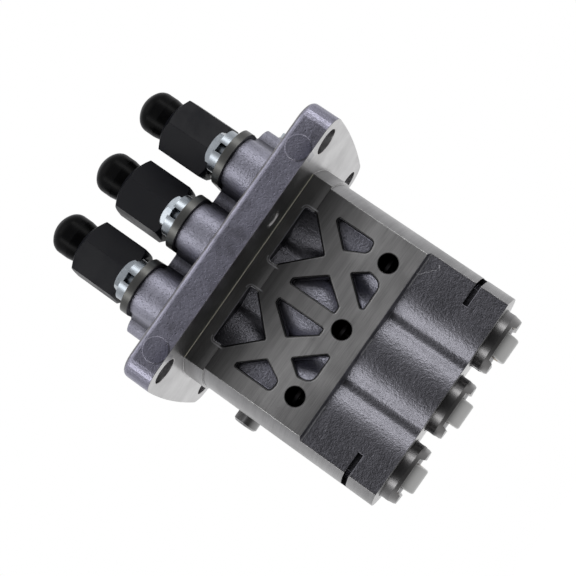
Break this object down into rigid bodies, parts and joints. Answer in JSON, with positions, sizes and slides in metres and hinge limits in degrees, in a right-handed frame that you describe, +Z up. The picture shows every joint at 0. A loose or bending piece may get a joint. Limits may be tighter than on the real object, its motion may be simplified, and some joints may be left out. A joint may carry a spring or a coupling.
{
  "type": "fuel injection pump",
  "caption": "Flange-mounted inline fuel injection pump with capped delivery valve holders, a machined ribbed front pad, a toothed control rack and spring-loaded roller tappets.",
  "frame": {"origin": "Centre of the four flange bolt holes, on the machined underside of the flange.", "axes": "+Z points up to the delivery outlets, +X runs along the row of elements, and -Y is the front with the machined pad."},
  "size_m": [0.1246, 0.094, 0.1767],
  "materials": {
    "cast_housing": "sand-cast, painted dark grey, machined on the mounting face and pad",
    "barrel_steel": "turned, dark oiled steel",
    "zinc_steel": "bright zinc plated",
    "bright_steel": "ground steel",
    "spring_steel": "drawn spring wire",
    "black_steel": "black oxide, satin",
    "cap_rubber": "moulded, glossy",
    "tappet_steel": "hardened, ground on the outside",
    "roller_steel": "ground and polished",
    "bush_bronze": "plain bearing bronze",
    "copper": "soft copper",
    "seal_rubber": "smooth"
  },
  "bodies": {
    "housing": {"pump_body": "cast_housing", "barrel_1": "barrel_steel", "barrel_2": "barrel_steel", "barrel_3": "barrel_steel", "barrel_o_rings": "seal_rubber", "barrel_screws": "zinc_steel", "notched_rings": "zinc_steel", "valve_seat_1": "bright_steel", "valve_seat_2": "bright_steel", "valve_seat_3": "bright_steel", "valve_gaskets": "copper", "valve_spring_1": "spring_steel", "valve_spring_2": "spring_steel", "valve_spring_3": "spring_steel", "delivery_holder_1": "black_steel", "delivery_holder_2": "black_steel", "delivery_holder_3": "black_steel", "rack_guide_screw": "zinc_steel", "upper_spring_seats": "tappet_steel", "plunger_spring_1": "spring_steel", "plunger_spring_2": "spring_steel", "plunger_spring_3": "spring_steel", "tappet_guide_pins": "bright_steel", "gallery_plug": "zinc_steel", "gallery_plug_washer": "copper"},
    "rack": {"control_rack": "bright_steel"},
    "sleeve_1": {"control_sleeve_1": "bright_steel"},
    "plunger_1_body": {"plunger_1": "bright_steel"},
    "tappet_1_body": {"tappet_1": "tappet_steel", "roller_pin_1": "bright_steel", "lower_spring_seat_1": "tappet_steel"},
    "roller_1_body": {"roller_1": "roller_steel", "roller_bush_1": "bush_bronze"},
    "valve_1": {"delivery_valve_1": "bright_steel"},
    "cap_1": {"outlet_cap_1": "cap_rubber"},
    "sleeve_2": {"control_sleeve_2": "bright_steel"},
    "plunger_2_body": {"plunger_2": "bright_steel"},
    "tappet_2_body": {"tappet_2": "tappet_steel", "roller_pin_2": "bright_steel", "lower_spring_seat_2": "tappet_steel"},
    "roller_2_body": {"roller_2": "roller_steel", "roller_bush_2": "bush_bronze"},
    "valve_2": {"delivery_valve_2": "bright_steel"},
    "cap_2": {"outlet_cap_2": "cap_rubber"},
    "sleeve_3": {"control_sleeve_3": "bright_steel"},
    "plunger_3_body": {"plunger_3": "bright_steel"},
    "tappet_3_body": {"tappet_3": "tappet_steel", "roller_pin_3": "bright_steel", "lower_spring_seat_3": "tappet_steel"},
    "roller_3_body": {"roller_3": "roller_steel", "roller_bush_3": "bush_bronze"},
    "valve_3": {"delivery_valve_3": "bright_steel"},
    "cap_3": {"outlet_cap_3": "cap_rubber"}
  },
  "joints": [
    {"name": "rack_slide", "type": "slide", "parent": "housing", "child": "rack", "axis": [1, 0, 0], "range_m": [-0.008, 0.008]},
    {"name": "sleeve_turn_1", "type": "hinge", "parent": "housing", "child": "sleeve_1", "pos_m": [-0.0318, 0, -0.027], "axis": [0, 0, 1], "range_deg": [-42, 42]},
    {"name": "tappet_lift_1", "type": "slide", "parent": "housing", "child": "tappet_1_body", "axis": [0, 0, 1], "range_m": [0, 0.008], "stiffness_N_per_m": 8000, "springref_m": -0.004, "deforming": ["plunger_spring_1"]},
    {"name": "plunger_stroke_1", "type": "slide", "parent": "sleeve_1", "child": "plunger_1_body", "axis": [0, 0, 1], "range_m": [0, 0.008]},
    {"name": "roller_spin_1", "type": "hinge", "parent": "tappet_1_body", "child": "roller_1_body", "pos_m": [-0.0318, 0, -0.0896], "axis": [1, 0, 0], "continuous": true},
    {"name": "valve_lift_1", "type": "slide", "parent": "housing", "child": "valve_1", "axis": [0, 0, 1], "range_m": [0, 0.0025], "stiffness_N_per_m": 1500, "springref_m": -0.002, "deforming": ["valve_spring_1"]},
    {"name": "cap_pull_1", "type": "slide", "parent": "housing", "child": "cap_1", "axis": [0, 0, 1], "range_m": [0, 0.03]},
    {"name": "sleeve_turn_2", "type": "hinge", "parent": "housing", "child": "sleeve_2", "pos_m": [-0.0018, 0, -0.027], "axis": [0, 0, 1], "range_deg": [-42, 42]},
    {"name": "tappet_lift_2", "type": "slide", "parent": "housing", "child": "tappet_2_body", "axis": [0, 0, 1], "range_m": [0, 0.008], "stiffness_N_per_m": 8000, "springref_m": -0.004, "deforming": ["plunger_spring_2"]},
    {"name": "plunger_stroke_2", "type": "slide", "parent": "sleeve_2", "child": "plunger_2_body", "axis": [0, 0, 1], "range_m": [0, 0.008]},
    {"name": "roller_spin_2", "type": "hinge", "parent": "tappet_2_body", "child": "roller_2_body", "pos_m": [-0.0018, 0, -0.0896], "axis": [1, 0, 0], "continuous": true},
    {"name": "valve_lift_2", "type": "slide", "parent": "housing", "child": "valve_2", "axis": [0, 0, 1], "range_m": [0, 0.0025], "stiffness_N_per_m": 1500, "springref_m": -0.002, "deforming": ["valve_spring_2"]},
    {"name": "cap_pull_2", "type": "slide", "parent": "housing", "child": "cap_2", "axis": [0, 0, 1], "range_m": [0, 0.03]},
    {"name": "sleeve_turn_3", "type": "hinge", "parent": "housing", "child": "sleeve_3", "pos_m": [0.0282, 0, -0.027], "axis": [0, 0, 1], "range_deg": [-42, 42]},
    {"name": "tappet_lift_3", "type": "slide", "parent": "housing", "child": "tappet_3_body", "axis": [0, 0, 1], "range_m": [0, 0.008], "stiffness_N_per_m": 8000, "springref_m": -0.004, "deforming": ["plunger_spring_3"]},
    {"name": "plunger_stroke_3", "type": "slide", "parent": "sleeve_3", "child": "plunger_3_body", "axis": [0, 0, 1], "range_m": [0, 0.008]},
    {"name": "roller_spin_3", "type": "hinge", "parent": "tappet_3_body", "child": "roller_3_body", "pos_m": [0.0282, 0, -0.0896], "axis": [1, 0, 0], "continuous": true},
    {"name": "valve_lift_3", "type": "slide", "parent": "housing", "child": "valve_3", "axis": [0, 0, 1], "range_m": [0, 0.0025], "stiffness_N_per_m": 1500, "springref_m": -0.002, "deforming": ["valve_spring_3"]},
    {"name": "cap_pull_3", "type": "slide", "parent": "housing", "child": "cap_3", "axis": [0, 0, 1], "range_m": [0, 0.03]}
  ],
  "couplings": [
    {"joint": "sleeve_turn_1", "follows": "rack_slide", "rad_per_m": -90.909},
    {"joint": "plunger_stroke_1", "follows": "tappet_lift_1", "ratio": 1},
    {"joint": "sleeve_turn_2", "follows": "rack_slide", "rad_per_m": -90.909},
    {"joint": "plunger_stroke_2", "follows": "tappet_lift_2", "ratio": 1},
    {"joint": "sleeve_turn_3", "follows": "rack_slide", "rad_per_m": -90.909},
    {"joint": "plunger_stroke_3", "follows": "tappet_lift_3", "ratio": 1}
  ]
}
